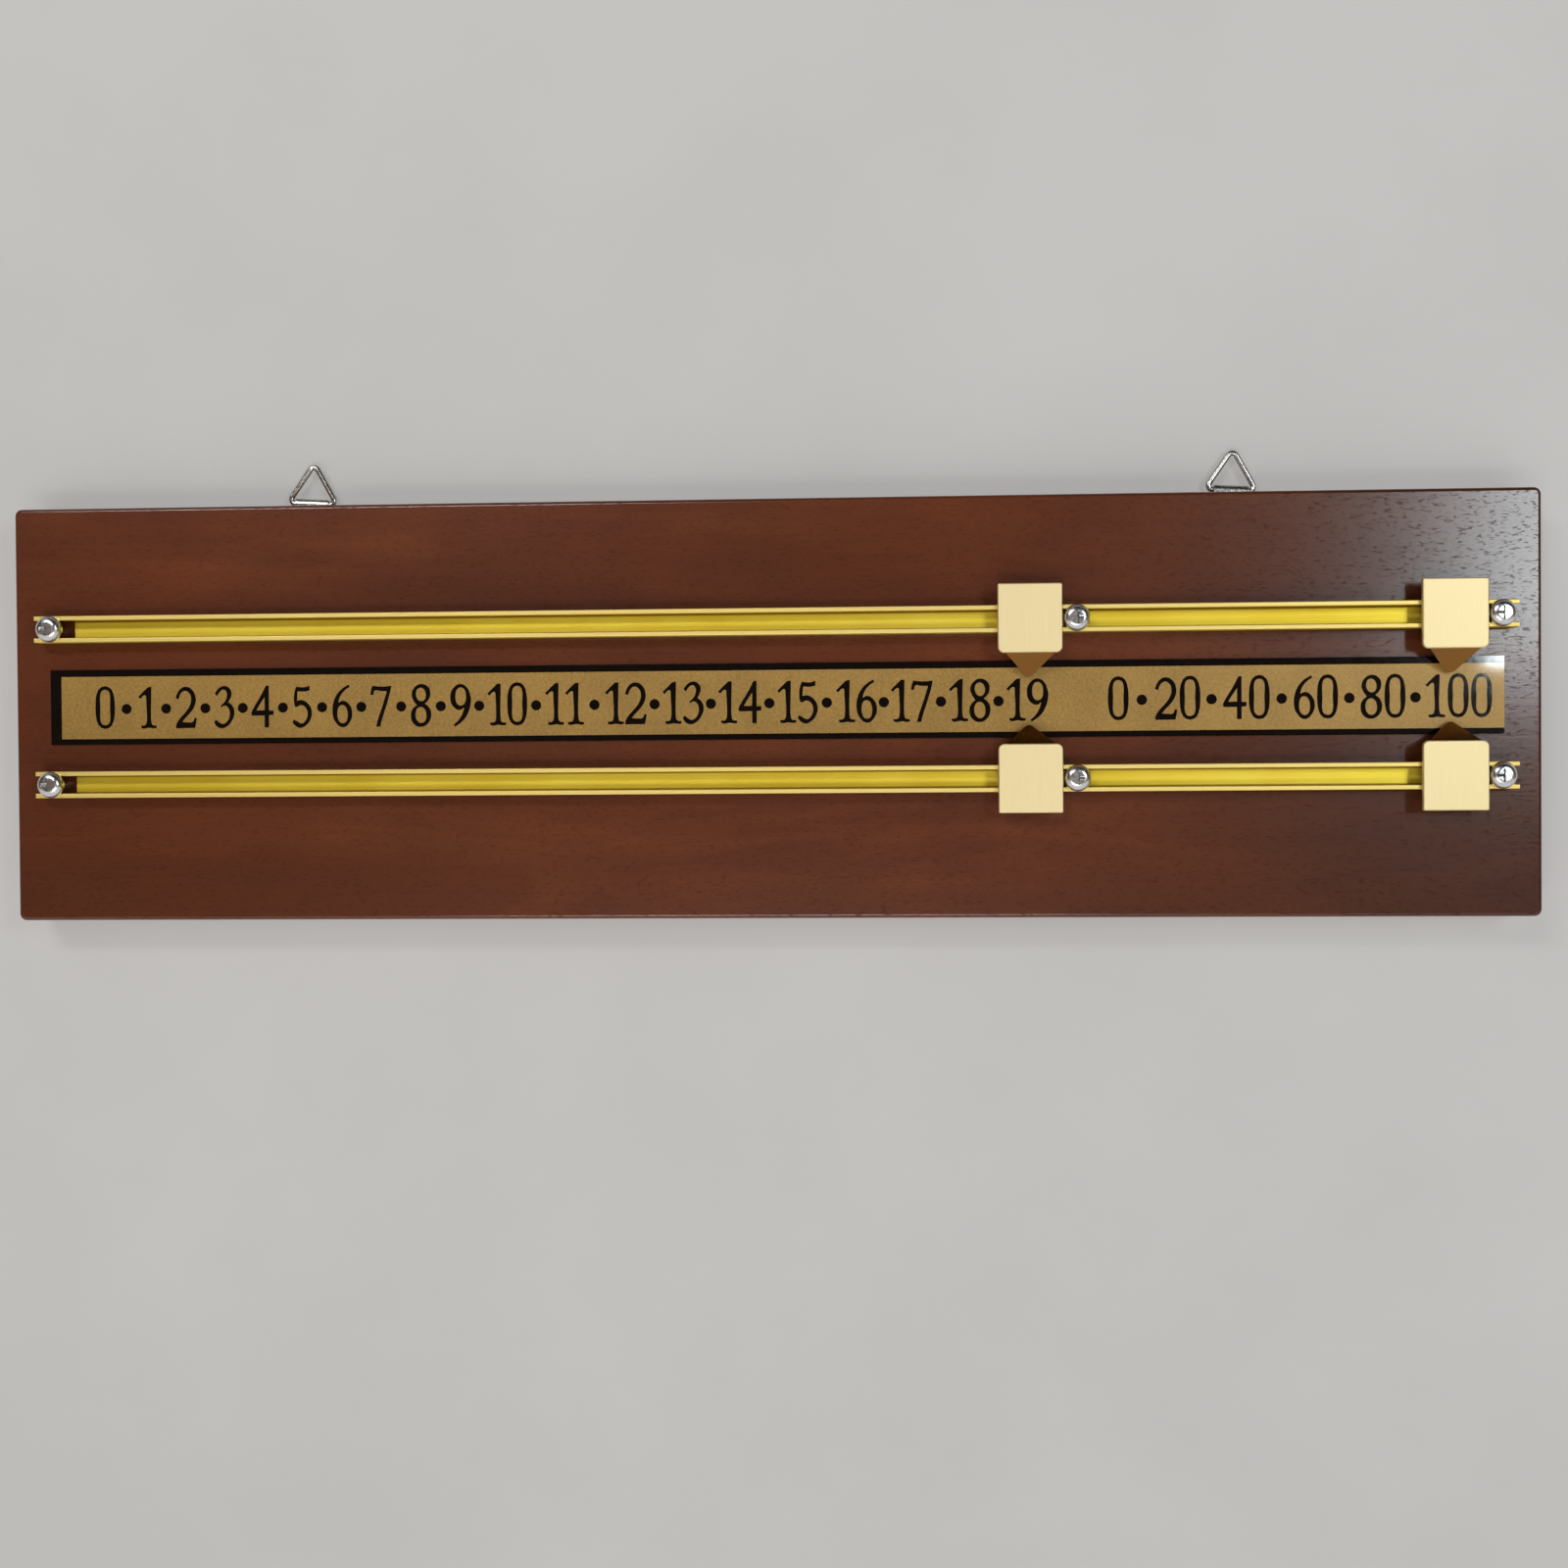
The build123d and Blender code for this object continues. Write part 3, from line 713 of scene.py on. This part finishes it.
# Half of the wall's brightness is its own, so the board's shadow on it stays faint.
own_light = add_node(tree, "ShaderNodeEmission", {
    "Color": plaster_colour.outputs["Color"], "Strength": 0.95,
})
paint = add_node(tree, "ShaderNodeMixShader", {
    0: wall_own_share, 1: matt_paint.outputs[0], 2: own_light.outputs[0],
})
clear = add_node(tree, "ShaderNodeBsdfTransparent")
side_seen = add_node(tree, "ShaderNodeNewGeometry")
front = add_node(tree, "ShaderNodeMath", {
    0: 1, 1: side_seen.outputs["Backfacing"],
}, operation="SUBTRACT")
shown = add_node(tree, "ShaderNodeMath", {
    0: seen_rays(tree).outputs[0], 1: front.outputs[0],
}, operation="MULTIPLY")
wall_surface = add_node(tree, "ShaderNodeMixShader", {
    0: shown.outputs[0], 1: clear.outputs[0], 2: paint.outputs[0],
})
add_node(tree, "ShaderNodeOutputMaterial", {"Surface": wall_surface.outputs[0]})
bpy.ops.object.select_all(action="DESELECT")
bpy.ops.mesh.primitive_plane_add(size=wall_size * MM, rotation=(pi / 2, 0, 0))
wall = bpy.context.active_object
wall.name = "wall"
wall.location = (0, wall_gap * MM, (wall_size / 2 - floor_drop) * MM)
wall.data.materials.append(plaster)

pale_floor = new_material("pale_floor_paint")
tree = pale_floor.node_tree
floor_matt = add_node(tree, "ShaderNodeBsdfDiffuse", {"Color": floor_colour})
# The room is dark overhead, so most of the floor's paleness is its own.
floor_glow = add_node(tree, "ShaderNodeEmission", {"Color": floor_colour, "Strength": 1})
floor_paint = add_node(tree, "ShaderNodeMixShader", {
    0: floor_own_share, 1: floor_matt.outputs[0], 2: floor_glow.outputs[0],
})
floor_clear = add_node(tree, "ShaderNodeBsdfTransparent")
floor_surface = add_node(tree, "ShaderNodeMixShader", {
    0: seen_rays(tree).outputs[0], 1: floor_clear.outputs[0], 2: floor_paint.outputs[0],
})
add_node(tree, "ShaderNodeOutputMaterial", {"Surface": floor_surface.outputs[0]})
bpy.ops.mesh.primitive_plane_add(size=floor_size * MM, location=(0, 0, -floor_drop * MM))
floor = bpy.context.active_object
floor.name = "floor"
floor.data.materials.append(pale_floor)


# Lights: two soft lamps in front, below and above to the left, a weak fill, and a lamp behind.
# A cool panel at the right, and a small one at its foot, glance off the lacquer and the strip.
# The room itself is pale below, dim and brown at eye level, and dark overhead.

room_strength = 1.5
daylight = "#f0fbff"


def add_lamp(name, spot, aim, size, watts, colour="#ffffff"):
    """A rectangular soft lamp that points at a place. Both places and the size are in metres."""
    bpy.ops.object.light_add(type="AREA", location=spot)
    lamp = bpy.context.active_object
    lamp.name = name
    lamp.data.shape = "RECTANGLE"
    lamp.data.size, lamp.data.size_y = size
    lamp.data.energy = watts
    lamp.data.color = linear(colour)[:3]
    lamp.rotation_euler = (Vector(aim) - Vector(spot)).to_track_quat("-Z", "Y").to_euler()


add_lamp("key_lamp", spot=(-0.05, -1.0, -0.42), aim=(0, 0, -0.02), size=(0.5, 0.2), watts=2.2)
add_lamp("left_lamp", spot=(-0.42, -1.0, 0.55), aim=(-0.12, 0, 0), size=(0.5, 0.14), watts=4.2)
add_lamp(
    "side_panel", spot=(0.635, -1.0, 0.25), aim=(0.635, 0, 0.25), size=(0.23, 0.28),
    watts=3.6, colour=daylight,
)
add_lamp(
    "side_panel_foot", spot=(0.565, -1.0, 0.085), aim=(0.565, 0, 0.085), size=(0.09, 0.05),
    watts=0.55, colour=daylight,
)
add_lamp("fill_lamp", spot=(-0.7, -0.8, 0.9), aim=(0, 0, 0), size=(0.6, 0.6), watts=1.2)
add_lamp("back_lamp", spot=(-0.4, 1.3, -0.5), aim=(0, 0, 0), size=(1.2, 0.7), watts=9)

world = bpy.data.worlds.new("room")
bpy.context.scene.world = world
world.use_nodes = True
tree = world.node_tree
tree.nodes.clear()
place = add_node(tree, "ShaderNodeTexCoord")
direction = add_node(tree, "ShaderNodeSeparateXYZ", {0: place.outputs["Generated"]})
height = add_node(tree, "ShaderNodeMapRange", {
    "Value": direction.outputs["Z"], "From Min": -1, "From Max": 1,
})
room_light = add_node(tree, "ShaderNodeValToRGB", {"Fac": height.outputs[0]})
set_ramp(
    room_light,
    (0.0, "#d8d8d8"), (0.27, "#ffffff"), (0.34, "#a09080"),
    (0.4, "#5a4a3a"), (0.56, "#4a3c30"), (0.66, "#242220"), (1.0, "#242220"),
)
background = add_node(tree, "ShaderNodeBackground", {
    "Color": room_light.outputs["Color"], "Strength": room_strength,
})
add_node(tree, "ShaderNodeOutputWorld", {"Surface": background.outputs[0]})
bpy.context.scene.view_settings.view_transform = "Standard"


# Camera: hand-held about half a metre in front of the board, a little right of its middle
# and below it, and turned slightly to the left.

camera_place = (29.3, -476, -14.2)
camera_pitch, camera_roll, camera_yaw = 89.31, 0.42, 2.95
camera_lens, camera_sensor, camera_nearest = 40.5, 36, 10
bpy.ops.object.camera_add(
    location=[value * MM for value in camera_place],
    rotation=(radians(camera_pitch), radians(camera_roll), radians(camera_yaw)),
)
camera = bpy.context.active_object
camera.data.lens = camera_lens
camera.data.sensor_width = camera_sensor
camera.data.clip_start = camera_nearest * MM
bpy.context.scene.camera = camera
